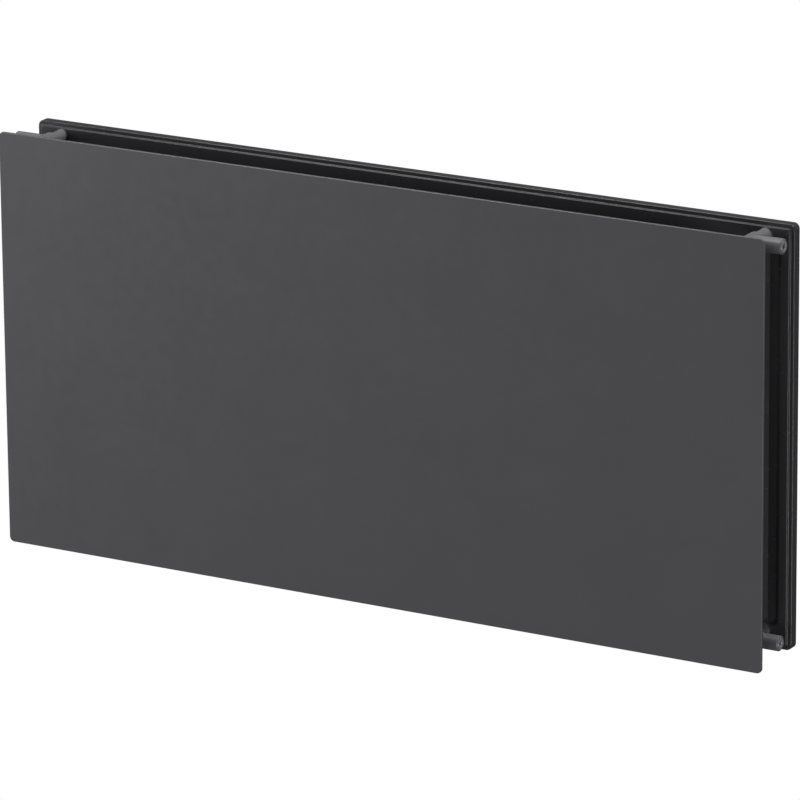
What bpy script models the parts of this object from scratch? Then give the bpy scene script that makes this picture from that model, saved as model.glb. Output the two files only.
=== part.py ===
"""Double-panel steel radiator with a plain face plate, four corner tees, a bleed valve and hanging lugs.

Metres, +Z up. +X runs along the length, -Y is the room side and +Y the wall side. The origin is on the rear
plane of the four hanging lugs, in the middle of their pattern, which is the middle of the face plate.
"""

import math

import bmesh
import bpy
from mathutils import Matrix, Vector

# ---- driving dimensions ----------------------------------------------------------------------------------

PLATE_WIDTH = 1.200
PLATE_HEIGHT = 0.600
PLATE_CORNER = 0.0075
PLATE_EDGE_DEPTH = 0.004
SHEET = 0.0012
GAP = 0.0003

PANEL_MARGIN = 0.0036
PANEL_CORNER = 0.008
RIM_WIDTH = 0.0054
STEP_WIDTH = 0.002
RIM_CORNER = 0.004
PLATEAU_CORNER = 0.003
LOW_RISE = 0.0035
HIGH_RISE = 0.0068
REAR_EDGE_DEPTH = 0.014

CHANNEL_PITCH = 0.1 / 3
CHANNEL_COUNT = 35
TROUGH_HALF_WIDTH = 0.0123
TROUGH_FLOOR_HALF_WIDTH = 0.0057
HEADER_TO_ARC = 0.047

DEPTH = 0.113
PANEL_SPACING = 0.077

HUB_DISTANCE = 0.550
HUB_RISE = 0.0035
HUB_X = 0.555
HUB_FROM_FACE = 0.051
TEE_RADIUS = 0.0118
TEE_END_RADIUS = 0.0096
TEE_HALF_LENGTH = 0.015
LINK_RADIUS = 0.0095
BORE_RADIUS = 0.0075
WATER_HOLE_REACH = 0.0036
SADDLE_GAP = 0.0004

OUTLET_RADIUS = 0.01065
OUTLET_END_X = 0.603
OUTLET_CHAMFER = 0.0015
OUTLET_LIP_RADIUS = 0.0087
THREAD_RADIUS = 0.00835
THREAD_DEPTH = 0.014

PLUG_LENGTH = 0.0119
PLUG_CHAMFER = 0.0004
SEAL_THICKNESS = 0.0015
SEAL_INNER_RADIUS = 0.0055
KEY_ACROSS_FLATS = 0.006
KEY_DEPTH = 0.0065

VENT_RECESS_RADIUS = 0.0038
VENT_RECESS_DEPTH = 0.0055
SCREW_BORE_RADIUS = 0.0025
SCREW_BORE_DEPTH = 0.0095
SEAT_RADIUS = 0.0012
BLEED_PORT_RADIUS = 0.0008
BLEED_PORT_OFFSET = 0.0059
BLEED_PORT_DEPTH = 0.0078
CROSS_PORT_RADIUS = 0.00065
SCREW_HEAD_RADIUS = 0.0035
SCREW_HEAD_TOP = 0.003
SCREW_HEAD_THICKNESS = 0.002
SCREW_SHANK_RADIUS = 0.0022
SCREW_SHANK_END = 0.0082
SCREW_SLOT_WIDTH = 0.0012
SCREW_SLOT_DEPTH = 0.0011
TIP_LENGTH = 0.0007
TIP_NOSE_RADIUS = 0.0009

LUG_CHANNEL = 14
LUG_Z = 0.220
LUG_HEIGHT = 0.030
LUG_STEEL = 0.002
LUG_FOOT_WIDTH = 0.009

ROUND_STEPS = 24
SMALL_STEPS = 16
CORNER_STEPS = 4
SHARP_ANGLE = math.radians(35)

# ---- places worked out from them, as Y or Z in the object's frame -------------------------------------------

FACE_Y = -DEPTH
HUB_Y = FACE_Y + HUB_FROM_FACE
HUB_ZS = {"top": HUB_DISTANCE / 2 + HUB_RISE, "bottom": -HUB_DISTANCE / 2 + HUB_RISE}
SIDES = {"left": -1, "right": 1}

FRONT_FACE_PLATEAU = FACE_Y + SHEET + GAP
FRONT_FACE_RIM = FRONT_FACE_PLATEAU + LOW_RISE
FRONT_GAP_RIM = FRONT_FACE_RIM + 2 * SHEET + GAP
FRONT_GAP_PLATEAU = FRONT_GAP_RIM + HIGH_RISE
REAR_GAP_PLATEAU = FRONT_GAP_PLATEAU + PANEL_SPACING
REAR_GAP_RIM = REAR_GAP_PLATEAU + LOW_RISE
REAR_WALL_RIM = REAR_GAP_RIM + 2 * SHEET + GAP
REAR_WALL_PLATEAU = REAR_WALL_RIM + HIGH_RISE

PANEL_HALF_WIDTH = PLATE_WIDTH / 2 - PANEL_MARGIN
PANEL_HALF_HEIGHT = PLATE_HEIGHT / 2 - PANEL_MARGIN
TROUGH_ARC_Z = PLATE_HEIGHT / 2 - HEADER_TO_ARC
OUTLET_LENGTH = OUTLET_END_X - HUB_X
PLUG_RADIUS = THREAD_RADIUS - GAP


# ---- objects and materials -----------------------------------------------------------------------------------

def clear_scene():
    for obj in list(bpy.data.objects):
        bpy.data.objects.remove(obj, do_unlink=True)


def material(name, colour, roughness, metallic):
    made = bpy.data.materials.new(name)
    made.use_nodes = True
    shader = made.node_tree.nodes["Principled BSDF"]
    shader.inputs["Base Color"].default_value = (*colour, 1.0)
    shader.inputs["Roughness"].default_value = roughness
    shader.inputs["Metallic"].default_value = metallic
    return made


def mesh_from(name, bm, finish, smooth=True):
    """Closes a bmesh into a mesh with outward normals, one material and round pieces shaded smooth."""
    bmesh.ops.recalc_face_normals(bm, faces=bm.faces)
    mesh = bpy.data.meshes.new(name)
    bm.to_mesh(mesh)
    bm.free()
    mesh.materials.append(finish)
    if smooth:
        mesh.shade_smooth()
        mesh.set_sharp_from_angle(angle=SHARP_ANGLE)
    return mesh


def add_object(name, mesh, parent=None, location=(0, 0, 0), rotation=(0, 0, 0)):
    made = bpy.data.objects.new(name, mesh)
    made.location = location
    made.rotation_euler = rotation
    made.parent = parent
    bpy.context.scene.collection.objects.link(made)
    return made


def cut(target, cutter):
    """Takes the cutter's shape out of the target with a Boolean modifier."""
    cutter.hide_render = True
    cutter.display_type = "WIRE"
    modifier = target.modifiers.new("cut by " + cutter.name, "BOOLEAN")
    modifier.operation = "DIFFERENCE"
    modifier.solver = "EXACT"
    modifier.object = cutter


# ---- shapes --------------------------------------------------------------------------------------------------

def turned(profile, steps, axis):
    """A solid of revolution. The profile's points are (radius, place along the axis), in a closed loop."""
    bm = bmesh.new()
    along = Vector(axis)
    out = Vector((0, 0, 1))
    corners = [bm.verts.new(out * radius + along * place) for radius, place in profile]
    edges = [bm.edges.new((corner, corners[i - 1])) for i, corner in enumerate(corners)]
    bmesh.ops.spin(bm, geom=edges, cent=(0, 0, 0), axis=along, angle=2 * math.pi, steps=steps)
    bmesh.ops.remove_doubles(bm, verts=bm.verts, dist=1e-6)
    flat = [face for face in bm.faces if face.calc_area() < 1e-12]
    bmesh.ops.delete(bm, geom=flat, context="FACES_ONLY")
    return bm


def tube_profile(inner, outer, start, end):
    return [(inner, start), (outer, start), (outer, end), (inner, end)]


def cylinder_cutter(name, radius, length, steps, parent, matrix):
    """A cylinder that starts at the matrix's place and runs along its +Z."""
    bm = bmesh.new()
    shift = matrix @ Matrix.Translation((0, 0, length / 2))
    bmesh.ops.create_cone(bm, cap_ends=True, segments=steps, radius1=radius, radius2=radius,
                          depth=length, matrix=shift)
    mesh = bpy.data.meshes.new(name)
    bm.to_mesh(mesh)
    bm.free()
    return add_object(name, mesh, parent)


def rounded_loop(bm, half_width, half_height, corner, y):
    """Vertices of a rounded rectangle facing Y: four corner arcs, counter-clockwise seen from -Y."""
    loop = []
    for quarter, (sx, sz) in enumerate(((1, 1), (-1, 1), (-1, -1), (1, -1))):
        centre_x = sx * (half_width - corner)
        centre_z = sz * (half_height - corner)
        for step in range(CORNER_STEPS + 1):
            angle = math.radians(90) * (quarter + step / CORNER_STEPS)
            x = centre_x + corner * math.cos(angle)
            z = centre_z + corner * math.sin(angle)
            loop.append(bm.verts.new((x, y, z)))
    return loop


def join_loops(bm, first, second):
    """A band of quads between two loops with the same number of points."""
    for i in range(len(first)):
        bm.faces.new((first[i - 1], first[i], second[i], second[i - 1]))


def trough_loop(bm, centre_x, half_width, y):
    """A long loop with pointed ends, in order: top tip, left side, bottom tip, right side."""
    arc_z = TROUGH_ARC_Z
    places = [(0, arc_z + half_width), (-half_width, arc_z), (-half_width, -arc_z)]
    places += [(0, -arc_z - half_width), (half_width, -arc_z), (half_width, arc_z)]
    return [bm.verts.new((centre_x + x, y, z)) for x, z in places]


def pressed_face(bm, rim, y_rim, y_plateau):
    """One skin of a pressed sheet inside its rim loop: step, plateau, and one trough for each channel."""
    inset = RIM_WIDTH
    foot = rounded_loop(bm, PANEL_HALF_WIDTH - inset, PANEL_HALF_HEIGHT - inset, RIM_CORNER, y_rim)
    join_loops(bm, rim, foot)
    inset += STEP_WIDTH
    half_width = PANEL_HALF_WIDTH - inset
    half_height = PANEL_HALF_HEIGHT - inset
    top = rounded_loop(bm, half_width, half_height, PLATEAU_CORNER, y_plateau)
    count = CORNER_STEPS + 1
    for i in range(len(top)):
        if i % count:
            bm.faces.new((foot[i - 1], foot[i], top[i], top[i - 1]))

    # Points where the boundaries between channels meet the plateau's upper and lower edges.
    lines = [(k - CHANNEL_COUNT / 2) * CHANNEL_PITCH for k in range(CHANNEL_COUNT + 1)]
    upper = [bm.verts.new((x, y_plateau, half_height)) for x in lines]
    lower = [bm.verts.new((x, y_plateau, -half_height)) for x in lines]
    right_top = top[:count]
    left_top = top[count:2 * count]
    left_low = top[2 * count:3 * count]
    right_low = top[3 * count:]
    bm.faces.new([foot[count - 1], foot[count], left_top[0]] + upper + [right_top[-1]])
    bm.faces.new([foot[2 * count - 1], foot[2 * count], left_low[0], left_top[-1]])
    bm.faces.new([foot[3 * count - 1], foot[3 * count], right_low[0]] + lower[::-1] + [left_low[-1]])
    bm.faces.new([foot[4 * count - 1], foot[0], right_top[0], right_low[-1]])
    bm.faces.new(left_top + left_low + [lower[0], upper[0]])
    bm.faces.new(right_low + right_top + [upper[-1], lower[-1]])

    for k in range(CHANNEL_COUNT):
        centre_x = (k - (CHANNEL_COUNT - 1) / 2) * CHANNEL_PITCH
        mouth = trough_loop(bm, centre_x, TROUGH_HALF_WIDTH, y_plateau)
        floor = trough_loop(bm, centre_x, TROUGH_FLOOR_HALF_WIDTH, y_rim)
        join_loops(bm, mouth, floor)
        bm.faces.new(floor)
        bm.faces.new((upper[k], mouth[0], upper[k + 1]))
        bm.faces.new((upper[k], lower[k], mouth[3], mouth[2], mouth[1], mouth[0]))
        bm.faces.new((lower[k], lower[k + 1], mouth[3]))
        bm.faces.new((upper[k + 1], mouth[0], mouth[5], mouth[4], mouth[3], lower[k + 1]))


def pressed_sheet(name, finish, y_rim, y_plateau, inset=0.0, edge_depth=0.0):
    """A pressed sheet whose plateau rises from y_rim to y_plateau, with an edge folded away from the rise."""
    back = -math.copysign(SHEET, y_plateau - y_rim)
    half_width = PANEL_HALF_WIDTH - inset
    half_height = PANEL_HALF_HEIGHT - inset
    corner = PANEL_CORNER - inset
    bm = bmesh.new()
    rim_front = rounded_loop(bm, half_width, half_height, corner, y_rim)
    pressed_face(bm, rim_front, y_rim, y_plateau)
    if edge_depth:
        y_end = y_rim + math.copysign(edge_depth, back)
        outer_end = rounded_loop(bm, half_width, half_height, corner, y_end)
        inner_end = rounded_loop(bm, half_width - SHEET, half_height - SHEET, corner - SHEET, y_end)
        rim_back = rounded_loop(bm, half_width - SHEET, half_height - SHEET, corner - SHEET, y_rim + back)
        join_loops(bm, rim_front, outer_end)
        join_loops(bm, outer_end, inner_end)
        join_loops(bm, inner_end, rim_back)
    else:
        rim_back = rounded_loop(bm, half_width, half_height, corner, y_rim + back)
        join_loops(bm, rim_front, rim_back)
    pressed_face(bm, rim_back, y_rim + back, y_plateau + back)
    return add_object(name, mesh_from(name, bm, finish, smooth=False), ROOT)


# ---- the pieces ----------------------------------------------------------------------------------------------

def face_plate(finish):
    """A plain plate with its edge folded back all round."""
    bm = bmesh.new()
    half_width = PLATE_WIDTH / 2
    half_height = PLATE_HEIGHT / 2
    inner_corner = PLATE_CORNER - SHEET
    front = rounded_loop(bm, half_width, half_height, PLATE_CORNER, FACE_Y)
    edge = rounded_loop(bm, half_width, half_height, PLATE_CORNER, FACE_Y + PLATE_EDGE_DEPTH)
    lip = rounded_loop(bm, half_width - SHEET, half_height - SHEET, inner_corner, FACE_Y + PLATE_EDGE_DEPTH)
    back = rounded_loop(bm, half_width - SHEET, half_height - SHEET, inner_corner, FACE_Y + SHEET)
    bm.faces.new(front)
    join_loops(bm, front, edge)
    join_loops(bm, edge, lip)
    join_loops(bm, lip, back)
    bm.faces.new(back)
    add_object("face_plate", mesh_from("face_plate", bm, finish, smooth=False), ROOT)


def water_hole_cutter(name, y_start):
    """Four cylinders, one on each tee's axis, that pierce a sheet where a link tube meets it."""
    length = WATER_HOLE_REACH
    bm = bmesh.new()
    for side in SIDES.values():
        for z in HUB_ZS.values():
            place = Matrix.Translation((side * HUB_X, y_start + length / 2, z))
            turn = Matrix.Rotation(math.radians(90), 4, "X")
            bmesh.ops.create_cone(bm, cap_ends=True, segments=SMALL_STEPS, radius1=BORE_RADIUS,
                                  radius2=BORE_RADIUS, depth=length, matrix=place @ turn)
    mesh = bpy.data.meshes.new(name)
    bm.to_mesh(mesh)
    bm.free()
    return add_object(name, mesh, ROOT)


def water_panels(finish):
    """The four pressed sheets. Each pair meets at its rim and at the floors of its troughs."""
    front_holes = water_hole_cutter("front_water_holes", FRONT_GAP_PLATEAU - WATER_HOLE_REACH + SHEET)
    rear_holes = water_hole_cutter("rear_water_holes", REAR_GAP_PLATEAU - SHEET)
    pressed_sheet("front_panel_face_sheet", finish, FRONT_FACE_RIM, FRONT_FACE_PLATEAU)
    front_gap = pressed_sheet("front_panel_gap_sheet", finish, FRONT_GAP_RIM, FRONT_GAP_PLATEAU)
    rear_gap = pressed_sheet("rear_panel_gap_sheet", finish, REAR_GAP_RIM, REAR_GAP_PLATEAU,
                             edge_depth=REAR_EDGE_DEPTH)
    pressed_sheet("rear_panel_wall_sheet", finish, REAR_WALL_RIM, REAR_WALL_PLATEAU, inset=SHEET + GAP)
    cut(front_gap, front_holes)
    cut(rear_gap, rear_holes)


def tee_body_profile():
    """The tee's barrel in section: a straight bore and an outside with a rounded shoulder at each end."""
    straight = OUTLET_RADIUS
    shoulder = TEE_HALF_LENGTH - straight
    drop = TEE_RADIUS - TEE_END_RADIUS
    half = []
    for step in range(4):
        angle = math.radians(90) * step / 3
        half.append((TEE_END_RADIUS + drop * math.cos(angle), straight + shoulder * math.sin(angle)))
    outside = [(radius, -place) for radius, place in reversed(half)] + half
    return [(BORE_RADIUS, -TEE_HALF_LENGTH)] + outside + [(BORE_RADIUS, TEE_HALF_LENGTH)]


def outlet_profile():
    end = OUTLET_LENGTH
    return [
        (BORE_RADIUS, 0.0),
        (OUTLET_RADIUS, 0.0),
        (OUTLET_RADIUS, end - OUTLET_CHAMFER),
        (OUTLET_LIP_RADIUS, end),
        (THREAD_RADIUS, end),
        (THREAD_RADIUS, end - THREAD_DEPTH),
        (BORE_RADIUS, end - THREAD_DEPTH),
    ]


def corner_frame(level, side):
    """An empty on a tee's centre, with +X towards that end of the radiator."""
    turn = (0, 0, 0) if side == "right" else (0, math.pi, 0)
    place = (SIDES[side] * HUB_X, HUB_Y, HUB_ZS[level])
    return add_object(f"corner_{level}_{side}", None, ROOT, place, turn)


def corner_tees(finish):
    """Four tees: a barrel between two link tubes, and an outlet tube out to the end of the radiator."""
    along_y = (0, 1, 0)
    along_x = (1, 0, 0)
    front_end = FRONT_GAP_PLATEAU - HUB_Y + GAP
    rear_end = REAR_GAP_PLATEAU - HUB_Y - GAP
    near = TEE_HALF_LENGTH + GAP
    body = mesh_from("tee_body", turned(tee_body_profile(), ROUND_STEPS, along_y), finish)
    front_tube = tube_profile(BORE_RADIUS, LINK_RADIUS, front_end, -near)
    rear_tube = tube_profile(BORE_RADIUS, LINK_RADIUS, near, rear_end)
    front = mesh_from("front_link", turned(front_tube, ROUND_STEPS, along_y), finish)
    rear = mesh_from("rear_link", turned(rear_tube, ROUND_STEPS, along_y), finish)
    outlet = mesh_from("outlet", turned(outlet_profile(), ROUND_STEPS, along_x), finish)
    to_x = Matrix.Rotation(math.radians(90), 4, "Y")
    to_y = Matrix.Rotation(math.radians(-90), 4, "X")
    saddle_start = Matrix.Translation((0, -2 * TEE_HALF_LENGTH, 0))
    saddle_radius = TEE_RADIUS + SADDLE_GAP
    corners = {}
    for level in HUB_ZS:
        for side in SIDES:
            place = f"{level}_{side}"
            frame = corner_frame(level, side)
            barrel = add_object("tee_body_" + place, body, frame)
            bore = cylinder_cutter("side_bore_" + place, BORE_RADIUS, 2 * TEE_RADIUS, ROUND_STEPS, frame, to_x)
            cut(barrel, bore)
            add_object("front_link_tube_" + place, front, frame)
            add_object("rear_link_tube_" + place, rear, frame)
            tube = add_object("outlet_tube_" + place, outlet, frame)
            saddle = cylinder_cutter("saddle_" + place, saddle_radius, 4 * TEE_HALF_LENGTH, ROUND_STEPS,
                                     frame, saddle_start @ to_y)
            cut(tube, saddle)
            corners[place] = frame
    return corners


def plug_profile(inner_steps):
    """A headless plug flush with its outlet's mouth. inner_steps are the points of its bore, if it has one."""
    end = OUTLET_LENGTH
    start = end - PLUG_LENGTH
    outside = [(PLUG_RADIUS, start), (PLUG_RADIUS, end - PLUG_CHAMFER), (PLUG_RADIUS - PLUG_CHAMFER, end)]
    return outside + inner_steps


def seal_ring(name, finish, frame):
    start = OUTLET_LENGTH - THREAD_DEPTH + GAP
    profile = tube_profile(SEAL_INNER_RADIUS, PLUG_RADIUS, start, start + SEAL_THICKNESS)
    add_object(name, mesh_from(name, turned(profile, ROUND_STEPS, (1, 0, 0)), finish), frame)


def blanking_plug(frame, metal, rubber):
    """A headless plug with a hexagon socket, and the ring it tightens against."""
    end = OUTLET_LENGTH
    profile = plug_profile([(0.0, end), (0.0, end - PLUG_LENGTH)])
    mesh = mesh_from("blanking_plug", turned(profile, ROUND_STEPS, (1, 0, 0)), metal)
    plug = add_object("blanking_plug_bottom_right", mesh, frame)
    start = Matrix.Translation((end - KEY_DEPTH, 0, 0))
    to_x = Matrix.Rotation(math.radians(90), 4, "Y")
    key_radius = KEY_ACROSS_FLATS / math.sqrt(3)
    cut(plug, cylinder_cutter("key_socket", key_radius, 2 * KEY_DEPTH, 6, frame, start @ to_x))
    seal_ring("plug_seal_bottom_right", rubber, frame)


def vent_plug(frame, metal, rubber):
    """A plug with a recess for the bleed screw, a small seat behind it and a port that lets the air out."""
    end = OUTLET_LENGTH
    bore = [
        (VENT_RECESS_RADIUS, end),
        (VENT_RECESS_RADIUS, end - VENT_RECESS_DEPTH),
        (SCREW_BORE_RADIUS, end - VENT_RECESS_DEPTH),
        (SCREW_BORE_RADIUS, end - SCREW_BORE_DEPTH),
        (SEAT_RADIUS, end - SCREW_BORE_DEPTH),
        (SEAT_RADIUS, end - PLUG_LENGTH),
    ]
    mesh = mesh_from("vent_plug", turned(plug_profile(bore), ROUND_STEPS, (1, 0, 0)), metal)
    plug = add_object("vent_plug_top_right", mesh, frame)
    to_x = Matrix.Rotation(math.radians(90), 4, "Y")
    port_start = Matrix.Translation((end - BLEED_PORT_DEPTH, 0, -BLEED_PORT_OFFSET))
    port = cylinder_cutter("bleed_port", BLEED_PORT_RADIUS, 2 * BLEED_PORT_DEPTH, SMALL_STEPS // 2, frame,
                           port_start @ to_x)
    cut(plug, port)
    cross_place = end - BLEED_PORT_DEPTH + BLEED_PORT_RADIUS
    cross_start = Matrix.Translation((cross_place, 0, -BLEED_PORT_OFFSET))
    cross_length = BLEED_PORT_OFFSET - SCREW_BORE_RADIUS / 2
    cross_port = cylinder_cutter("bleed_cross_port", CROSS_PORT_RADIUS, cross_length, SMALL_STEPS // 2,
                                 frame, cross_start)
    cut(plug, cross_port)
    seal_ring("vent_seal_top_right", rubber, frame)


def bleed_screw(frame, metal, rubber):
    """A slotted screw and its sealing tip. Both stand on the screw's axis, which is the outlet's axis."""
    end = OUTLET_LENGTH
    head_bottom = end - SCREW_HEAD_TOP - SCREW_HEAD_THICKNESS
    shank_end = end - SCREW_SHANK_END
    profile = [
        (0.0, shank_end),
        (SCREW_SHANK_RADIUS, shank_end),
        (SCREW_SHANK_RADIUS, head_bottom),
        (SCREW_HEAD_RADIUS, head_bottom),
        (SCREW_HEAD_RADIUS, end - SCREW_HEAD_TOP),
        (0.0, end - SCREW_HEAD_TOP),
    ]
    screw = add_object("bleed_screw", mesh_from("bleed_screw", turned(profile, SMALL_STEPS, (1, 0, 0)), metal),
                       frame)
    bm = bmesh.new()
    slot_size = Matrix.Diagonal((2 * SCREW_SLOT_DEPTH, SCREW_SLOT_WIDTH, 3 * SCREW_HEAD_RADIUS, 1))
    bmesh.ops.create_cube(bm, size=1, matrix=Matrix.Translation((end - SCREW_HEAD_TOP, 0, 0)) @ slot_size)
    slot_mesh = bpy.data.meshes.new("screw_slot")
    bm.to_mesh(slot_mesh)
    bm.free()
    cut(screw, add_object("screw_slot", slot_mesh, frame))
    tip_start = shank_end - GAP
    tip_profile = [
        (0.0, tip_start - TIP_LENGTH),
        (TIP_NOSE_RADIUS, tip_start - TIP_LENGTH),
        (SCREW_SHANK_RADIUS, tip_start),
        (0.0, tip_start),
    ]
    add_object("bleed_seal_tip",
               mesh_from("bleed_seal_tip", turned(tip_profile, SMALL_STEPS, (1, 0, 0)), rubber), frame)


def hanging_lugs(finish):
    """Four hat-shaped straps on the wall side. Their feet stand on the ribs beside one trough."""
    foot_y = REAR_WALL_PLATEAU + GAP
    rib = CHANNEL_PITCH / 2
    foot_outer = rib + LUG_FOOT_WIDTH / 2
    leg_outer = rib - LUG_FOOT_WIDTH / 2
    leg_inner = leg_outer - LUG_STEEL
    half = [
        (foot_outer, foot_y),
        (foot_outer, foot_y + LUG_STEEL),
        (leg_outer, foot_y + LUG_STEEL),
        (leg_outer, 0.0),
    ]
    inside = [(leg_inner, foot_y), (leg_inner, -LUG_STEEL)]
    section = half + [(-x, y) for x, y in reversed(half)]
    section += [(-x, y) for x, y in inside] + list(reversed(inside))
    bm = bmesh.new()
    low = [bm.verts.new((x, y, -LUG_HEIGHT / 2)) for x, y in section]
    face = bm.faces.new(low)
    raised = bmesh.ops.extrude_face_region(bm, geom=[face])["geom"]
    top = [item for item in raised if isinstance(item, bmesh.types.BMVert)]
    bmesh.ops.translate(bm, verts=top, vec=(0, 0, LUG_HEIGHT))
    mesh = mesh_from("hanging_lug", bm, finish, smooth=False)
    for level, sign in (("top", 1), ("bottom", -1)):
        for side in SIDES:
            place = (SIDES[side] * LUG_CHANNEL * CHANNEL_PITCH, 0, sign * LUG_Z)
            add_object(f"hanging_lug_{level}_{side}", mesh, ROOT, place)


def build():
    face_paint = material("face_paint", (0.075, 0.076, 0.080), 0.45, 0.0)
    panel_paint = material("panel_paint", (0.042, 0.043, 0.046), 0.50, 0.0)
    tee_paint = material("tee_paint", (0.26, 0.26, 0.27), 0.40, 0.0)
    plug_metal = material("plug_metal", (0.30, 0.30, 0.31), 0.35, 0.6)
    screw_brass = material("screw_brass", (0.36, 0.30, 0.18), 0.40, 1.0)
    rubber = material("seal_rubber", (0.02, 0.02, 0.02), 0.70, 0.0)
    face_plate(face_paint)
    water_panels(panel_paint)
    corners = corner_tees(tee_paint)
    blanking_plug(corners["bottom_right"], plug_metal, rubber)
    vent_plug(corners["top_right"], plug_metal, rubber)
    bleed_screw(corners["top_right"], screw_brass, rubber)
    hanging_lugs(panel_paint)


clear_scene()
ROOT = add_object("radiator", None)
build()
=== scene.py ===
"""The finished look of a double-panel steel radiator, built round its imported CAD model.

Metres, in the CAD frame: +X along the length, -Y is the room side, +Y the wall side, +Z up.
"""

import math

import bmesh
import bpy
from mathutils import Matrix, Vector

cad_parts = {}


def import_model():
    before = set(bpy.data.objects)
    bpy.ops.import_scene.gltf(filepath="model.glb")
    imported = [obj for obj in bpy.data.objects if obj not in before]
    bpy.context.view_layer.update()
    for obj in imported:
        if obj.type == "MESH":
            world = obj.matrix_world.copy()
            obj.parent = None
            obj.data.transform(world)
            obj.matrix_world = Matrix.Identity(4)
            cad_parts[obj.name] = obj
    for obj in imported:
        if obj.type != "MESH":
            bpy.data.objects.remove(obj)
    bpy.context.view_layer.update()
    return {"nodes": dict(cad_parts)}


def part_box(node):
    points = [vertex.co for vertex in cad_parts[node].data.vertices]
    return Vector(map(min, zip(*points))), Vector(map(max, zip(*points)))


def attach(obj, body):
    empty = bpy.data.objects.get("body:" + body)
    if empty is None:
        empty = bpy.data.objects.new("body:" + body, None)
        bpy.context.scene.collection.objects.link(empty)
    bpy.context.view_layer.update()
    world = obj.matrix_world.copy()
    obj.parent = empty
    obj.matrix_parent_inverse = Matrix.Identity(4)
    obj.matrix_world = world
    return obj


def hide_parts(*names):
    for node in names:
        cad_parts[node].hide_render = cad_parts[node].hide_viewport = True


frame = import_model()

# ---- sizes ---------------------------------------------------------------------------------------

SHEET = 0.0012
SEAM = 0.0003

PLATE_CORNER = 0.0075
PLATE_BEND = 0.0014
PLATE_INNER_BEND = 0.0003
PLATE_LIP_ROUND = 0.0003
LIP_STEPS = 2

PANEL_CORNER = 0.008
LEAST_CORNER = 0.003
LOW_RISE = 0.0035
HIGH_RISE = 0.0068
EDGE_BEND = 0.0016
RIM_WIDTH = 0.0048
STEP_WIDTHS = {LOW_RISE: 0.0028, HIGH_RISE: 0.0036}
STEP_BEND = 0.0013
PLATEAU_BORDER = 0.001

CHANNEL_PITCH = 0.1 / 3
CHANNEL_COUNT = 35
MOUTH_HALF_WIDTH = 0.0123
FLOOR_HALF_WIDTH = 0.0055
TROUGH_BEND = 0.0022
TROUGH_ARC_Z = 0.253
WELDS_PER_TROUGH = 6
WELD_RADIUS = 0.0032
WELD_DEPTH = 0.00035
WELD_DIMPLE = ((1.0, 0.0), (0.8, 0.7), (0.5, 1.0))  # shares of the weld's radius and depth

BORE_RADIUS = 0.0075
TEE_SHOULDER = 0.0044
LINK_RADIUS = 0.0095
OUTLET_CHAMFER = 0.0015
OUTLET_LIP_RADIUS = 0.0087
EDGE_ROUND = 0.00025
EDGE_EASE = 0.0001
THREAD_ROOT_RADIUS = 0.00835
THREAD_HEIGHT = 0.0007
THREAD_PITCH = 0.001337
THREAD_DEPTH = 0.014
SAMPLES_PER_THREAD = 8

PLUG_RADIUS = 0.00805
PLUG_LENGTH = 0.0119
PLUG_CHAMFER = 0.0004
KEY_SIDES = 6
KEY_ACROSS_FLATS = 0.006
KEY_DEPTH = 0.0065
KEY_LEAD_IN = 0.0004
VENT_RECESS_RADIUS = 0.0038
VENT_RECESS_DEPTH = 0.0055
SCREW_BORE_RADIUS = 0.0025
BLEED_PORT_RADIUS = 0.0008
BLEED_PORT_OFFSET = 0.0059
BLEED_PORT_DEPTH = 0.0078
SCREW_HEAD_RADIUS = 0.0035
SCREW_HEAD_TOP = 0.003
SCREW_HEAD_THICKNESS = 0.002
SCREW_HEAD_ROUND = 0.0004
SCREW_SHANK_RADIUS = 0.0022
SCREW_SHANK_END = 0.0082
SCREW_SLOT_WIDTH = 0.0012
SCREW_SLOT_DEPTH = 0.0011
SCREW_PITCH = 0.0008

LUG_STEEL = 0.002
LUG_BEND = 0.0028
LUG_EDGE = 0.0003
LUG_EDGE_STEPS = 2
LUG_EDGE_ANGLE = math.radians(60)
LUG_FOOT_WIDTH = 0.009

BEAD = 0.0008
BEAD_RIPPLE = 0.14
BEAD_STEP = 0.0016
BEAD_SIDES = 10

CORNER_STEPS = 10
BEND_STEPS = 5
END_STEPS = 12
ROUND_STEPS = 64
SHARP_ANGLE = math.radians(38)
SAME_POINT = 1e-7

# ---- looks ---------------------------------------------------------------------------------------

# name: (colour, roughness, metallic, height of the orange peel, its noise scale)
COATS = {
    "face_paint": ((0.135, 0.135, 0.146), 0.34, 0.0, 0.00002, 450.0),
    # The panels and lugs: the radiator's one paint, darkened as painted shade of the narrow gap between the
    # panels.
    "panel_paint": ((0.064, 0.064, 0.069), 0.25, 0.0, 0.00002, 450.0),
    # The tees and tubes: the same paint, lightened as painted highlight on the tops of the tubes.
    "tee_paint": ((0.198, 0.197, 0.209), 0.36, 0.0, 0.00002, 450.0),
    "plug_metal": ((0.42, 0.42, 0.44), 0.32, 0.3, 0.000008, 1500.0),
    "brass": ((0.30, 0.24, 0.13), 0.32, 1.0, 0.000006, 2500.0),
    "rubber": ((0.02, 0.02, 0.02), 0.65, 0.0, 0.00001, 1500.0),
}
NOISE_MIDDLE = (0.3, 0.7)
MOTTLE = 0.03
MOTTLE_SCALE = 9.0
MOTTLE_DETAIL = 4.0
SHEEN_SPREAD = 0.03
SHEEN_SCALE = 60.0
SHEEN_DETAIL = 3.0
PEEL_DETAIL = 1.0
GRAIN_FINENESS = 7
GRAIN_SHALLOWNESS = 6

CAMERA_LENS = 292.5
CAMERA_SENSOR = 36.0
CAMERA_AIM = (0.0082, -0.049, -0.0203)
CAMERA_DISTANCE = 8.915
CAMERA_YAW = math.radians(30.5)
CAMERA_PITCH = math.radians(16.67)
CAMERA_ROLL = math.radians(-0.53)
CAMERA_REACH = 100.0

FLOOR_DEPTH = 1.2
FLOOR_SIZE = 80.0
WORLD_LIGHT = 0.03

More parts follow.
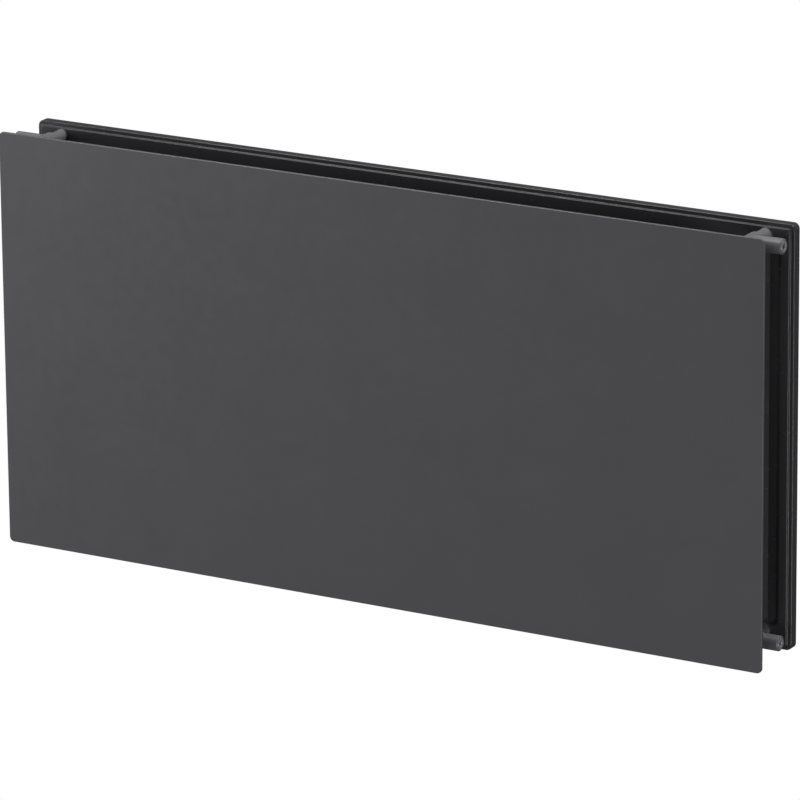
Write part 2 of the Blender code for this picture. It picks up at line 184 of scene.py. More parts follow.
# name: (place, aim, width, height, watts)
LIGHTS = {
    "overhead": ((-1.5, -0.55, 3.1), (0.0, 0.0, 0.0), 1.2, 1.4, 44.0),
    "back_top": ((-0.3, 1.1, 3.0), (0.0, 0.0, 0.0), 1.6, 1.2, 12.0),
    "back_right": ((1.5, 0.8, 2.6), (0.4, 0.0, 0.0), 1.2, 1.2, 46.0),
    "left": ((-4.5, -3.0, 0.2), (0.0, 0.0, 0.0), 2.0, 2.0, 88.0),
    "left_high": ((-4.2, -2.6, 1.6), (0.0, 0.0, 0.0), 1.6, 1.6, 42.0),
    "right": ((3.9, -2.0, -1.3), (0.3, 0.0, 0.0), 0.8, 1.5, 38.0),
    "front_right": ((1.6, -5.2, -0.6), (0.3, 0.0, 0.0), 1.4, 1.4, 27.0),
    "wall_side": ((-1.5, 4.0, -0.8), (0.0, 0.0, 0.0), 2.4, 2.4, 70.0),
}


# ---- meshes --------------------------------------------------------------------------------------

def arc_points(radius, start, turn, steps):
    """Points (across, up) on a circle about (0, 0), from start through turn, both in degrees."""
    angles = [math.radians(start + turn * i / steps) for i in range(steps + 1)]
    return [(radius * math.cos(a), radius * math.sin(a)) for a in angles]


def s_bend(width, rise, radius):
    """A smooth step from (0, 0) to (width, rise): an arc, a straight wall and the opposite arc."""
    slack = rise - 2 * radius
    wall = math.atan2(slack, width) + math.asin(2 * radius / math.hypot(width, slack))
    angles = [wall * i / BEND_STEPS for i in range(BEND_STEPS + 1)]
    foot = [(radius * math.sin(a), radius * (1 - math.cos(a))) for a in angles]
    head = [(width - across, rise - up) for across, up in reversed(foot)]
    return foot + head


def rounded_ring(bm, half_width, half_height, corner, y):
    """A rounded rectangle facing Y, clockwise seen from the room, starting at the top left corner."""
    ring = []
    for quarter, (sx, sz) in enumerate(((-1, 1), (1, 1), (1, -1), (-1, -1))):
        centre_x = sx * (half_width - corner)
        centre_z = sz * (half_height - corner)
        for x, z in arc_points(corner, 180 - 90 * quarter, -90, CORNER_STEPS):
            ring.append(bm.verts.new((centre_x + x, y, centre_z + z)))
    return ring


def join_rings(bm, outer, inner):
    """A band of faces between two closed rings with the same number of points."""
    for i in range(len(outer)):
        bm.faces.new((outer[i - 1], inner[i - 1], inner[i], outer[i]))


def faces_round_hole(bm, corners, hole, marks):
    """Four flat faces between a rectangle and a ring in it. marks are where the ring's sides change."""
    ring = hole + [hole[0]]
    ends = (0,) + marks + (len(hole),)
    for i in range(4):
        bm.faces.new([corners[i]] + ring[ends[i]:ends[i + 1] + 1] + [corners[(i + 1) % 4]])


def piece(name, bm, material, nodes=(), body="radiator", weighted=True):
    """Turns a bmesh into a finished piece that rides on a body and stands for some CAD nodes."""
    mesh = bpy.data.meshes.new(name)
    bm.to_mesh(mesh)
    bm.free()
    mesh.materials.append(material)
    obj = bpy.data.objects.new(name, mesh)
    bpy.context.scene.collection.objects.link(obj)
    shade(obj, weighted)
    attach(obj, body)
    if nodes:
        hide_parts(*nodes)
    return obj


def shade(obj, weighted=True):
    """Smooth shading with sharp edges at the sharp bends."""
    obj.data.shade_smooth()
    obj.data.set_sharp_from_angle(angle=SHARP_ANGLE)
    if weighted:
        normals = obj.modifiers.new("weighted_normals", "WEIGHTED_NORMAL")
        normals.keep_sharp = True


def thicken(obj, thickness):
    """Gives a sheet its thickness, on the side that its faces turn their backs to."""
    modifier = obj.modifiers.new("thickness", "SOLIDIFY")
    modifier.thickness = thickness
    modifier.offset = -1.0
    modifier.use_even_offset = True


def bake_modifiers(obj):
    """Replaces the object's mesh with the one that its modifiers make."""
    graph = bpy.context.evaluated_depsgraph_get()
    finished = bpy.data.meshes.new_from_object(obj.evaluated_get(graph))
    obj.modifiers.clear()
    obj.data = finished


def turned(bm, profile, centre, axis, steps=ROUND_STEPS):
    """Adds a solid of revolution to bm. The profile is a closed loop of (radius, place along the axis)."""
    along = Vector(axis)
    side = Vector((0, 0, 1))
    middle = Vector(centre)
    rows = []
    for i in range(steps):
        out = Matrix.Rotation(2 * math.pi * i / steps, 3, along) @ side
        rows.append([middle + out * radius + along * place for radius, place in profile])
    grid = [[bm.verts.new(point) for point in row] for row in rows]
    for i in range(steps):
        for j in range(len(profile)):
            near = grid[i - 1]
            far = grid[i]
            bm.faces.new((near[j - 1], near[j], far[j], far[j - 1]))
    bmesh.ops.remove_doubles(bm, verts=bm.verts, dist=SAME_POINT)
    bmesh.ops.recalc_face_normals(bm, faces=bm.faces)


# ---- the face plate and the pressed sheets -------------------------------------------------------

def plate_profile(front_y, lip_y):
    """(inset, y) from the front of the plate, round its rolled edge and its lip, to its back."""
    roll = arc_points(PLATE_BEND, 90, -90, BEND_STEPS)
    profile = [(PLATE_BEND - across, front_y + PLATE_BEND - up) for across, up in roll]
    lip = [(PLATE_LIP_ROUND + across, lip_y - PLATE_LIP_ROUND + up)
           for across, up in arc_points(PLATE_LIP_ROUND, 180, -90, LIP_STEPS)]
    profile += lip
    profile += [(SHEET - inset, y) for inset, y in reversed(lip)]
    inner = SHEET + PLATE_INNER_BEND
    corner = arc_points(PLATE_INNER_BEND, 180, 90, LIP_STEPS)
    return profile + [(inner + across, front_y + inner + up) for across, up in corner]


def face_plate(material):
    """The plain plate: a flat front, rolled edges and a short folded lip behind them."""
    low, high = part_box("face_plate")
    half_width = (high.x - low.x) / 2
    half_height = (high.z - low.z) / 2
    bm = bmesh.new()
    rings = [rounded_ring(bm, half_width - inset, half_height - inset, PLATE_CORNER - inset, y)
             for inset, y in plate_profile(low.y, high.y)]
    for outside, inside in zip(rings, rings[1:]):
        join_rings(bm, outside, inside)
    bm.faces.new(rings[0])
    bm.faces.new(rings[-1])
    bmesh.ops.recalc_face_normals(bm, faces=bm.faces)
    piece("face_plate_formed", bm, material, ["face_plate"])


def stadium(bm, centre_x, half_width, y):
    """A long ring with round ends, clockwise from its upper left, with points between the weld cells."""
    bounds_z = [TROUGH_ARC_Z * (1 - 2 * i / WELDS_PER_TROUGH) for i in range(1, WELDS_PER_TROUGH)]
    top = [(x, TROUGH_ARC_Z + z) for x, z in arc_points(half_width, 180, -180, END_STEPS)]
    right = [(half_width, z) for z in bounds_z]
    points = top + right
    points += [(-x, -z) for x, z in points]
    return [bm.verts.new((centre_x + x, y, z)) for x, z in points]


def spot_weld(bm, centre, corners, deeper):
    """One cell of a trough's floor, with a dimple in it. deeper is the dimple's way along Y, +1 or -1."""
    rims = []
    centre_x, y_floor, centre_z = centre
    for share, depth in WELD_DIMPLE:
        y = y_floor + deeper * depth * WELD_DEPTH
        rims.append([bm.verts.new((centre_x + x, y, centre_z + z))
                     for x, z in arc_points(share * WELD_RADIUS, 180, -360, END_STEPS)[:-1]])
    faces_round_hole(bm, corners, rims[0], (END_STEPS // 2, END_STEPS // 2, END_STEPS))
    join_rings(bm, rims[0], rims[1])
    join_rings(bm, rims[1], rims[2])
    bm.faces.new(rims[2])


def trough(bm, centre_x, y_plateau, rise):
    """One trough between two water channels, with spot welds along its floor. Returns its mouth."""
    y_floor = y_plateau - rise
    steps = s_bend(MOUTH_HALF_WIDTH - FLOOR_HALF_WIDTH, abs(rise), TROUGH_BEND)
    rings = [stadium(bm, centre_x, FLOOR_HALF_WIDTH + across, y_floor + math.copysign(up, rise))
             for across, up in reversed(steps)]
    for outside, inside in zip(rings, rings[1:]):
        join_rings(bm, outside, inside)
    floor = rings[-1]
    half = len(floor) // 2
    left_side = [floor[0]] + floor[:half + END_STEPS:-1] + [floor[half + END_STEPS]]
    right_side = floor[END_STEPS:half + 1]
    bm.faces.new(floor[:END_STEPS + 1])
    bm.faces.new(floor[half:half + END_STEPS + 1])
    for i in range(WELDS_PER_TROUGH):
        centre = (centre_x, y_floor, TROUGH_ARC_Z * (1 - (2 * i + 1) / WELDS_PER_TROUGH))
        corners = (left_side[i], right_side[i], right_side[i + 1], left_side[i + 1])
        spot_weld(bm, centre, corners, -math.copysign(1, rise))
    return rings[0]


def sheet_profile(y_rim, rise, edge_inset, edge_depth):
    """(inset, y) from the sheet's edge to its plateau: a folded edge if it has one, the rim, the step."""
    profile = [(edge_inset, y_rim)]
    if edge_depth:
        back = -math.copysign(1, rise)
        bend = arc_points(EDGE_BEND, 180, -90, BEND_STEPS)
        profile = [(0.0, y_rim + back * edge_depth)]
        profile += [(EDGE_BEND + across, y_rim + back * (EDGE_BEND - up)) for across, up in bend]
    for across, up in s_bend(STEP_WIDTHS[abs(rise)], abs(rise), STEP_BEND):
        profile.append((RIM_WIDTH + across, y_rim + math.copysign(up, rise)))
    profile.append((profile[-1][0] + PLATEAU_BORDER, y_rim + rise))
    return profile


def pressed_sheet(node, material, rise, edge_inset=0.0, edge_depth=0.0):
    """One pressed water sheet. rise is how far, and which way along Y, its plateau stands off its rim."""
    low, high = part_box(node)
    y_plateau = high.y if rise > 0 else low.y
    half_width = (high.x - low.x) / 2 + edge_inset
    half_height = (high.z - low.z) / 2 + edge_inset
    bm = bmesh.new()
    rings = []
    for inset, y in sheet_profile(y_plateau - rise, rise, edge_inset, edge_depth):
        corner = max(PANEL_CORNER - inset, LEAST_CORNER)
        rings.append(rounded_ring(bm, half_width - inset, half_height - inset, corner, y))
    for outside, inside in zip(rings[:-2], rings[1:-1]):
        join_rings(bm, outside, inside)
    plateau(bm, rings[-2], rings[-1], y_plateau, rise)
    for face in bm.faces:
        face.normal_update()
    if rise > 0:
        bmesh.ops.reverse_faces(bm, faces=bm.faces)
    obj = piece(node + "_formed", bm, material, [node], weighted=False)
    thicken(obj, SHEET)
    bake_modifiers(obj)
    shade(obj)


def plateau(bm, step_top, border, y, rise):
    """The flat part inside the step, cut into a cell for each channel, each with its trough."""
    count = CORNER_STEPS + 1
    for i in range(len(border)):
        if i % count or (i // count) % 2 == 0:
            bm.faces.new((step_top[i - 1], border[i - 1], border[i], step_top[i]))
    z_top = border[count].co.z
    lines = [(k - CHANNEL_COUNT / 2) * CHANNEL_PITCH for k in range(CHANNEL_COUNT + 1)]
    upper = [bm.verts.new((x, y, z_top)) for x in lines]
    lower = [bm.verts.new((x, y, -z_top)) for x in lines]
    left_top, right_top, right_low, left_low = [border[i * count:(i + 1) * count] for i in range(4)]
    bm.faces.new([step_top[count - 1], left_top[-1]] + upper + [right_top[0], step_top[count]])
    bm.faces.new([step_top[3 * count - 1], right_low[-1]] + lower[::-1]
                 + [left_low[0], step_top[3 * count]])
    bm.faces.new([upper[0]] + left_top[::-1] + left_low[::-1] + [lower[0]])
    bm.faces.new([lower[-1]] + right_low[::-1] + right_top[::-1] + [upper[-1]])
    half = END_STEPS + WELDS_PER_TROUGH
    for k in range(CHANNEL_COUNT):
        mouth = trough(bm, (k - (CHANNEL_COUNT - 1) / 2) * CHANNEL_PITCH, y, rise)
        corners = (upper[k], upper[k + 1], lower[k + 1], lower[k])
        faces_round_hole(bm, corners, mouth, (END_STEPS, half, half + END_STEPS))


def water_panels(material):
    """The two water panels, each made of two pressed sheets."""
    pressed_sheet("front_panel_face_sheet", material, -LOW_RISE)
    pressed_sheet("front_panel_gap_sheet", material, HIGH_RISE)
    tray_low, tray_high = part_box("rear_panel_gap_sheet")
    edge_depth = tray_high.y - tray_low.y - LOW_RISE
    pressed_sheet("rear_panel_gap_sheet", material, -LOW_RISE, edge_depth=edge_depth)
    pressed_sheet("rear_panel_wall_sheet", material, HIGH_RISE, edge_inset=SHEET + SEAM)


# ---- the corner tees -----------------------------------------------------------------------------

def tee_places():
    """Each corner's name, its tee's centre, and +1 or -1 for the end of the radiator it is at."""
    for level in ("top", "bottom"):
        for side, sign in (("left", -1), ("right", 1)):
            low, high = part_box(f"tee_body_{level}_{side}")
            yield f"{level}_{side}", (low + high) / 2, sign


def cut_with(obj, cutter_bm):
    """Cuts a closed bmesh out of the object for good."""
    mesh = bpy.data.meshes.new("cutter")
    cutter_bm.to_mesh(mesh)
    cutter_bm.free()
    cutter = bpy.data.objects.new("cutter", mesh)
    bpy.context.scene.collection.objects.link(cutter)
    modifier = obj.modifiers.new("cut", "BOOLEAN")
    modifier.operation = "DIFFERENCE"
    modifier.solver = "EXACT"
    modifier.object = cutter
    bake_modifiers(obj)
    bpy.data.objects.remove(cutter)
    bpy.data.meshes.remove(mesh)


def cylinder(radius, start, end, steps=ROUND_STEPS):
    """A closed cylinder as a bmesh, from start to end, both points on its axis."""
    a = Vector(start)
    b = Vector(end)
    along = b - a
    place = Matrix.Translation((a + b) / 2) @ along.to_track_quat("Z", "Y").to_matrix().to_4x4()
    bm = bmesh.new()
    bmesh.ops.create_cone(bm, cap_ends=True, segments=steps, radius1=radius, radius2=radius,
                          depth=along.length, matrix=place)
    return bm


def tee_body(corner, centre, sign, material):
    """The barrel on the tee's Y axis, with rounded shoulders and a side hole towards the outlet."""
    node = "tee_body_" + corner
    low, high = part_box(node)
    half_length = (high.y - low.y) / 2
    radius = (high.z - low.z) / 2
    drop = radius - LINK_RADIUS - SEAM
    shoulder = [(radius - drop + drop * c, half_length - TEE_SHOULDER + TEE_SHOULDER * s)
                for c, s in arc_points(1.0, 0, 90, 2 * BEND_STEPS)]
    outside = [(r, -place) for r, place in reversed(shoulder)] + shoulder
    bm = bmesh.new()
    turned(bm, [(BORE_RADIUS, -half_length)] + outside + [(BORE_RADIUS, half_length)], centre, (0, 1, 0))
    obj = piece(node + "_formed", bm, material, [node], weighted=False)
    reach = centre + Vector((sign * 2 * radius, 0, 0))
    cut_with(obj, cylinder(BORE_RADIUS, centre, reach))
    shade(obj)


def link_tube(corner, centre, which, material):
    """A tube between the barrel and one panel, and the weld bead where it stands on the panel."""
    node = f"{which}_link_tube_{corner}"
    low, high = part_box(node)
    start = low.y - centre.y - SEAM
    end = high.y - centre.y + SEAM
    bm = bmesh.new()
    turned(bm, [(BORE_RADIUS, start), (LINK_RADIUS, start), (LINK_RADIUS, end), (BORE_RADIUS, end)],
           centre, (0, 1, 0))
    piece(node + "_formed", bm, material, [node])
    foot_y = low.y - SEAM if which == "front" else high.y + SEAM
    foot = [Vector((centre.x + x, foot_y, centre.z + z))
            for x, z in arc_points(LINK_RADIUS, 0, 360, ROUND_STEPS)[:-1]]
    weld_bead(f"weld_bead_{which}_link_{corner}", foot, material)


def weld_bead(name, path, material):
    """A rippled bead along a closed path of points."""
    count = len(path)
    step = sum((path[i] - path[i - 1]).length for i in range(count)) / count
    waves = max(1, round(step * count / BEAD_STEP))
    middle = sum(path, Vector()) / count
    bm = bmesh.new()
    rings = []
    for i, point in enumerate(path):
        along = (path[(i + 1) % count] - path[i - 1]).normalized()
        out = (point - middle) - (point - middle).dot(along) * along
        out.normalize()
        up = along.cross(out)
        radius = BEAD * (1 + BEAD_RIPPLE * math.sin(waves * 2 * math.pi * i / count))
        rings.append([bm.verts.new(point + out * x + up * z)
                      for x, z in arc_points(radius, 0, 360, BEAD_SIDES)[:-1]])
    for i in range(count):
        join_rings(bm, rings[i - 1], rings[i])
    bmesh.ops.recalc_face_normals(bm, faces=bm.faces)
    piece(name, bm, material)


def outlet_mouth(radius, end):
    """(radius, place) round an outlet's mouth, from its outside over the chamfer to its bore."""
    chamfer = end - OUTLET_CHAMFER
    return [
        (radius, chamfer - 2 * EDGE_ROUND),
        (radius, chamfer - EDGE_ROUND),
        (radius - EDGE_EASE, chamfer + EDGE_EASE),
        (OUTLET_LIP_RADIUS + EDGE_EASE, end - EDGE_EASE),
        (OUTLET_LIP_RADIUS, end),
        (THREAD_ROOT_RADIUS, end),
    ]


def outlet_bore(end, turned_by, threaded):
    """(radius, place) down an outlet's bore. turned_by is how far round the bore it is, as a share."""
    points = []
    samples = SAMPLES_PER_THREAD * int(THREAD_DEPTH / THREAD_PITCH)
    for j in range(1, samples):
        depth = THREAD_DEPTH * j / samples
        phase = (depth / THREAD_PITCH + turned_by) % 1.0
        crest = 0.5 - 0.5 * math.cos(2 * math.pi * phase) if threaded else 0.0
        points.append((THREAD_ROOT_RADIUS - THREAD_HEIGHT * crest, end - depth))
    inside_end = end - THREAD_DEPTH
    return points + [(THREAD_ROOT_RADIUS, inside_end), (BORE_RADIUS, inside_end)]


def outlet_tube(corner, centre, sign, material, threaded):
    """The tube out to the radiator's end, saddle-shaped at the tee and chamfered at its mouth."""
    node = "outlet_tube_" + corner
    low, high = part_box(node)
    radius = (high.z - low.z) / 2
    barrel_low, barrel_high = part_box("tee_body_" + corner)
    barrel = (barrel_high.z - barrel_low.z) / 2
    end = max(abs(low.x), abs(high.x)) - abs(centre.x)
    mouth = outlet_mouth(radius, end)
    bm = bmesh.new()
    rows = []
    for i in range(ROUND_STEPS):
        angle = 2 * math.pi * i / ROUND_STEPS
        out = Vector((0, math.cos(angle), math.sin(angle)))
        points = [(radius, math.sqrt(barrel ** 2 - (radius * out.z) ** 2))]
        points += mouth + outlet_bore(end, i / ROUND_STEPS, threaded)
        points.append((BORE_RADIUS, math.sqrt(barrel ** 2 - (BORE_RADIUS * out.z) ** 2)))
        rows.append([bm.verts.new(centre + out * r + Vector((sign * place, 0, 0))) for r, place in points])
    for i in range(ROUND_STEPS):
        join_rings(bm, rows[i - 1], rows[i])
    bmesh.ops.recalc_face_normals(bm, faces=bm.faces)
    piece(node + "_formed", bm, material, [node])
    path = []
    for y, z in arc_points(radius, 0, 360, ROUND_STEPS)[:-1]:
        path.append(centre + Vector((sign * math.sqrt(barrel ** 2 - z ** 2), y, z)))
    weld_bead("weld_bead_outlet_" + corner, path, material)


def corner_tees(material):
    """All four corners. The left outlets are open, so they show a thread, and plugs fill the right ones."""
    for corner, centre, sign in tee_places():
        tee_body(corner, centre, sign, material)
        link_tube(corner, centre, "front", material)
        link_tube(corner, centre, "rear", material)
        outlet_tube(corner, centre, sign, material, threaded=sign < 0)


# ---- plugs, bleed screw and lugs -----------------------------------------------------------------

def mouth_centre(corner):
    """The middle of a right-hand outlet's mouth."""
    low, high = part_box("outlet_tube_" + corner)
    tee_low, tee_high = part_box("tee_body_" + corner)
    return Vector((high.x, (tee_low.y + tee_high.y) / 2, (tee_low.z + tee_high.z) / 2))


def blanking_plug(material):
    """A headless plug with a hexagon socket and a lead-in round it."""
    node = "blanking_plug_bottom_right"
    mouth = mouth_centre("bottom_right")
    key_corner = KEY_ACROSS_FLATS / math.sqrt(3)
    bm = bmesh.new()
    profile = [(0.0, -PLUG_LENGTH), (PLUG_RADIUS, -PLUG_LENGTH), (PLUG_RADIUS, -PLUG_CHAMFER),
               (PLUG_RADIUS - PLUG_CHAMFER, 0.0), (key_corner + KEY_LEAD_IN, 0.0),
               (key_corner - KEY_LEAD_IN, -2 * KEY_LEAD_IN), (0.0, -2 * KEY_LEAD_IN)]
    turned(bm, profile, mouth, (1, 0, 0))
    obj = piece(node + "_formed", bm, material, [node], weighted=False)
    depth = Vector((KEY_DEPTH, 0, 0))
    cut_with(obj, cylinder(key_corner, mouth - depth, mouth + depth, KEY_SIDES))
    shade(obj)


def vent_plug(material):
    """A plug with a recess for the bleed screw and a small port below it."""
    node = "vent_plug_top_right"
    mouth = mouth_centre("top_right")
    bm = bmesh.new()
    profile = [(PLUG_RADIUS, -PLUG_LENGTH), (PLUG_RADIUS, -PLUG_CHAMFER), (PLUG_RADIUS - PLUG_CHAMFER, 0.0),
               (VENT_RECESS_RADIUS + PLUG_CHAMFER, 0.0), (VENT_RECESS_RADIUS, -PLUG_CHAMFER),
               (VENT_RECESS_RADIUS, -VENT_RECESS_DEPTH), (SCREW_BORE_RADIUS, -VENT_RECESS_DEPTH),
               (SCREW_BORE_RADIUS, -PLUG_LENGTH)]
    turned(bm, profile, mouth, (1, 0, 0))
    obj = piece(node + "_formed", bm, material, [node], weighted=False)
    port = mouth - Vector((0, 0, BLEED_PORT_OFFSET))
    depth = Vector((BLEED_PORT_DEPTH, 0, 0))
    cut_with(obj, cylinder(BLEED_PORT_RADIUS, port - depth, port + depth, ROUND_STEPS // 4))
    shade(obj)


def bleed_screw(material):
    """A slotted brass screw with a rounded head, and rings for its fine thread."""
    mouth = mouth_centre("top_right")
    top = -SCREW_HEAD_TOP
    bottom = top - SCREW_HEAD_THICKNESS
    crown = [(SCREW_HEAD_RADIUS - SCREW_HEAD_ROUND + c, top - SCREW_HEAD_ROUND + s)
             for c, s in arc_points(SCREW_HEAD_ROUND, 0, 90, BEND_STEPS)]
    root = SCREW_SHANK_RADIUS - SCREW_PITCH / 4
    thread = []
    for i in range(int((SCREW_SHANK_END + bottom) / SCREW_PITCH)):
        place = -SCREW_SHANK_END + i * SCREW_PITCH
        thread += [(root, place), (SCREW_SHANK_RADIUS, place + SCREW_PITCH / 2)]
    thread.append((root, bottom))
    bm = bmesh.new()
    profile = [(0.0, -SCREW_SHANK_END)] + thread + [(SCREW_HEAD_RADIUS, bottom)] + crown + [(0.0, top)]
    turned(bm, profile, mouth, (1, 0, 0), ROUND_STEPS // 2)
    obj = piece("bleed_screw_formed", bm, material, ["bleed_screw"],
                body="bleed_screw", weighted=False)
    slot_bm = bmesh.new()
    size = Matrix.Diagonal((2 * SCREW_SLOT_DEPTH, SCREW_SLOT_WIDTH, 3 * SCREW_HEAD_RADIUS, 1))
    place = Matrix.Translation(mouth + Vector((top, 0, 0)))
    bmesh.ops.create_cube(slot_bm, size=1, matrix=place @ size)
    cut_with(obj, slot_bm)
    shade(obj)


def filleted(points, radius):
    """A polyline with its inner corners rounded."""
    line = [Vector(points[0])]
    for before, corner, after in zip(points, points[1:], points[2:]):
        corner = Vector(corner)
        back = (Vector(before) - corner).normalized()
        ahead = (Vector(after) - corner).normalized()
        half = back.angle(ahead) / 2
        reach = radius / math.tan(half)
        centre = corner + (back + ahead).normalized() * radius / math.sin(half)
        first = (corner + back * reach - centre).normalized()
        last = (corner + ahead * reach - centre).normalized()
        for i in range(BEND_STEPS + 1):
            line.append(centre + first.slerp(last, i / BEND_STEPS) * radius)
    line.append(Vector(points[-1]))
    return line


def hanging_lug(node, material):
    """A hat-shaped strap with bent corners and dressed edges."""
    low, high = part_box(node)
    middle_x = (low.x + high.x) / 2
    half_width = (high.x - low.x) / 2
    top = high.y - LUG_STEEL
    leg = half_width - LUG_FOOT_WIDTH - LUG_STEEL
    right_half = [(leg, top), (leg, low.y), (half_width, low.y)]
    section = [(-x, y) for x, y in reversed(right_half)] + right_half
    line = filleted(section, LUG_BEND - LUG_STEEL)
    bm = bmesh.new()
    bottom = [bm.verts.new((middle_x + p.x, p.y, low.z)) for p in line]
    upper = [bm.verts.new((middle_x + p.x, p.y, high.z)) for p in line]
    for i in range(1, len(line)):
        bm.faces.new((bottom[i - 1], bottom[i], upper[i], upper[i - 1]))
    obj = piece(node + "_formed", bm, material, [node], weighted=False)
    thicken(obj, LUG_STEEL)
    edges = obj.modifiers.new("edges", "BEVEL")
    edges.width = LUG_EDGE
    edges.segments = LUG_EDGE_STEPS
    edges.limit_method = "ANGLE"
    edges.angle_limit = LUG_EDGE_ANGLE
    bake_modifiers(obj)
    shade(obj)


# ---- materials -----------------------------------------------------------------------------------

def noise(tree, coordinates, scale, detail):
    """The value of a noise texture."""
    node = tree.nodes.new("ShaderNodeTexNoise")
    node.inputs["Scale"].default_value = scale
    node.inputs["Detail"].default_value = detail
    tree.links.new(coordinates, node.inputs["Vector"])
    return node.outputs["Fac"]


def mapped(tree, value, low, high):
    """Maps the middle of a noise's range to low..high."""
    node = tree.nodes.new("ShaderNodeMapRange")
    node.inputs["From Min"].default_value = NOISE_MIDDLE[0]
    node.inputs["From Max"].default_value = NOISE_MIDDLE[1]
    node.inputs["To Min"].default_value = low
    node.inputs["To Max"].default_value = high
    tree.links.new(value, node.inputs["Value"])
    return node.outputs["Result"]


def bump(tree, coordinates, scale, height):
    """A bump of the shading by one size of noise. height is in metres."""
    node = tree.nodes.new("ShaderNodeBump")
    node.inputs["Strength"].default_value = 1.0
    node.inputs["Distance"].default_value = height
    tree.links.new(noise(tree, coordinates, scale, PEEL_DETAIL), node.inputs["Height"])
    return node


def coated(name):
    """One of the coats: slight mottling, an uneven sheen, orange peel and a fine grain."""
    colour, roughness, metallic, peel, peel_scale = COATS[name]
    made = bpy.data.materials.new(name)
    made.use_nodes = True
    tree = made.node_tree
    shader = tree.nodes["Principled BSDF"]
    shader.inputs["Metallic"].default_value = metallic
    coordinates = tree.nodes.new("ShaderNodeTexCoord").outputs["Object"]
    ramp = tree.nodes.new("ShaderNodeMix")
    ramp.data_type = "RGBA"
    ramp.inputs["A"].default_value = (*(c * (1 - MOTTLE) for c in colour), 1.0)
    ramp.inputs["B"].default_value = (*(c * (1 + MOTTLE) for c in colour), 1.0)
    patches = mapped(tree, noise(tree, coordinates, MOTTLE_SCALE, MOTTLE_DETAIL), 0.0, 1.0)
    tree.links.new(patches, ramp.inputs["Factor"])
    tree.links.new(ramp.outputs["Result"], shader.inputs["Base Color"])
    smears = noise(tree, coordinates, SHEEN_SCALE, SHEEN_DETAIL)
    sheen = mapped(tree, smears, roughness - SHEEN_SPREAD, roughness + SHEEN_SPREAD)
    tree.links.new(sheen, shader.inputs["Roughness"])
    waves = bump(tree, coordinates, peel_scale, peel)
    grain = bump(tree, coordinates, peel_scale * GRAIN_FINENESS, peel / GRAIN_SHALLOWNESS)
    tree.links.new(waves.outputs["Normal"], grain.inputs["Normal"])
    tree.links.new(grain.outputs["Normal"], shader.inputs["Normal"])
    return made


# ---- stage ---------------------------------------------------------------------------------------

def camera():
    """The photograph's view: a long lens, turned, tipped and rolled about the aim."""
    data = bpy.data.cameras.new("camera")
    data.lens = CAMERA_LENS
    data.sensor_width = CAMERA_SENSOR
    data.clip_end = CAMERA_REACH
    obj = bpy.data.objects.new("camera", data)
    turn = Matrix.Rotation(CAMERA_YAW, 4, "Z") @ Matrix.Rotation(math.pi / 2 - CAMERA_PITCH, 4, "X")
    turn = turn @ Matrix.Rotation(CAMERA_ROLL, 4, "Z")
    back = turn.to_3x3() @ Vector((0, 0, 1))
    obj.matrix_world = Matrix.Translation(Vector(CAMERA_AIM) + back * CAMERA_DISTANCE) @ turn
    bpy.context.scene.collection.objects.link(obj)
    bpy.context.scene.camera = obj


def area_light(name, place, aim, width, height, watts):
    """One soft light, which the camera doesn't see."""
    data = bpy.data.lights.new(name, "AREA")
    data.shape = "RECTANGLE"
    data.size = width
    data.size_y = height
    data.energy = watts
    obj = bpy.data.objects.new(name, data)
    obj.location = place
    obj.rotation_euler = (Vector(aim) - Vector(place)).to_track_quat("-Z", "Y").to_euler()
    obj.visible_camera = False
    bpy.context.scene.collection.objects.link(obj)


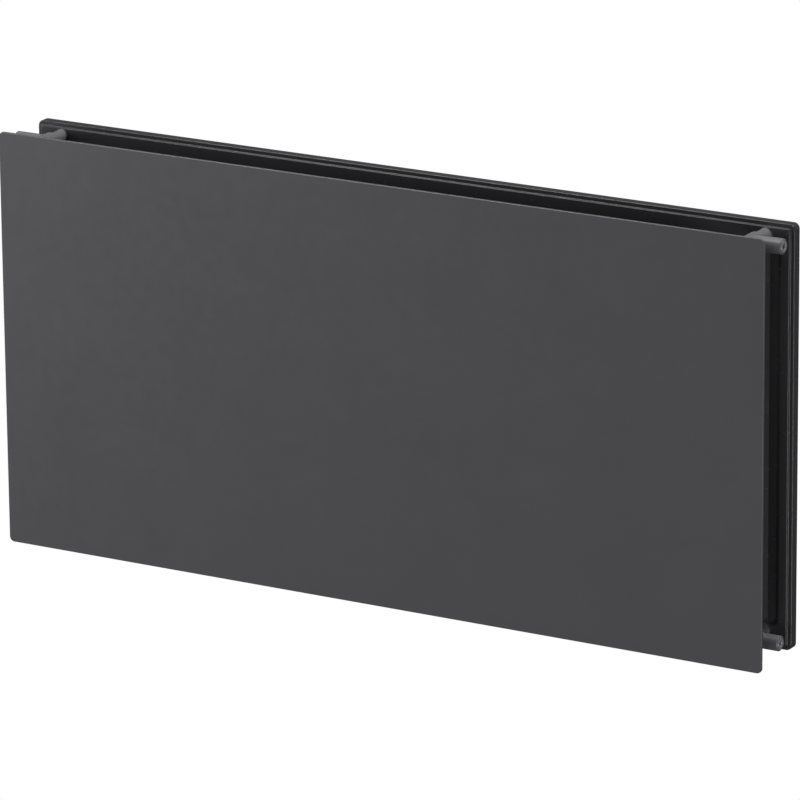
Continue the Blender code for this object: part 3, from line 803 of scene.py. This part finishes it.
def white_floor():
    """A plain white floor, clear from below, that only the camera sees, so it doesn't light or shade."""
    material = bpy.data.materials.new("floor")
    material.use_nodes = True
    tree = material.node_tree
    tree.nodes.clear()
    glow = tree.nodes.new("ShaderNodeEmission")
    clear = tree.nodes.new("ShaderNodeBsdfTransparent")
    mix = tree.nodes.new("ShaderNodeMixShader")
    side = tree.nodes.new("ShaderNodeNewGeometry")
    out = tree.nodes.new("ShaderNodeOutputMaterial")
    tree.links.new(side.outputs["Backfacing"], mix.inputs["Fac"])
    tree.links.new(glow.outputs["Emission"], mix.inputs[1])
    tree.links.new(clear.outputs["BSDF"], mix.inputs[2])
    tree.links.new(mix.outputs["Shader"], out.inputs["Surface"])
    bm = bmesh.new()
    bmesh.ops.create_grid(bm, size=FLOOR_SIZE / 2)
    mesh = bpy.data.meshes.new("floor")
    bm.to_mesh(mesh)
    bm.free()
    mesh.materials.append(material)
    floor = bpy.data.objects.new("floor", mesh)
    floor.location = (0, 0, -FLOOR_DEPTH)
    floor.visible_diffuse = False
    floor.visible_glossy = False
    floor.visible_shadow = False
    bpy.context.scene.collection.objects.link(floor)


def world():
    """White where the camera sees it, and a dim even grey as a source of light."""
    made = bpy.data.worlds.new("world")
    made.use_nodes = True
    tree = made.node_tree
    shown = tree.nodes["Background"]
    shown.inputs["Color"].default_value = (1, 1, 1, 1)
    shown.inputs["Strength"].default_value = 1.0
    lit = tree.nodes.new("ShaderNodeBackground")
    lit.inputs["Color"].default_value = (1, 1, 1, 1)
    lit.inputs["Strength"].default_value = WORLD_LIGHT
    path = tree.nodes.new("ShaderNodeLightPath")
    mix = tree.nodes.new("ShaderNodeMixShader")
    tree.links.new(path.outputs["Is Camera Ray"], mix.inputs["Fac"])
    tree.links.new(lit.outputs["Background"], mix.inputs[1])
    tree.links.new(shown.outputs["Background"], mix.inputs[2])
    tree.links.new(mix.outputs["Shader"], tree.nodes["World Output"].inputs["Surface"])
    bpy.context.scene.world = made


def stage():
    """The camera, the floor, the world and the lights."""
    bpy.context.scene.view_settings.view_transform = "Standard"
    camera()
    white_floor()
    world()
    for name, settings in LIGHTS.items():
        area_light(name, *settings)


def seals(material):
    """The rubber seals are the CAD's own pieces, with rubber on them."""
    for node in ("plug_seal_bottom_right", "vent_seal_top_right", "bleed_seal_tip"):
        seal = frame["nodes"][node]
        seal.data.materials.clear()
        seal.data.materials.append(material)


def radiator():
    """Every piece of the radiator, in its coat."""
    coats = {name: coated(name) for name in COATS}
    face_plate(coats["face_paint"])
    water_panels(coats["panel_paint"])
    corner_tees(coats["tee_paint"])
    blanking_plug(coats["plug_metal"])
    vent_plug(coats["plug_metal"])
    bleed_screw(coats["brass"])
    for node in frame["nodes"]:
        if node.startswith("hanging_lug"):
            hanging_lug(node, coats["panel_paint"])
    seals(coats["rubber"])


stage()
radiator()
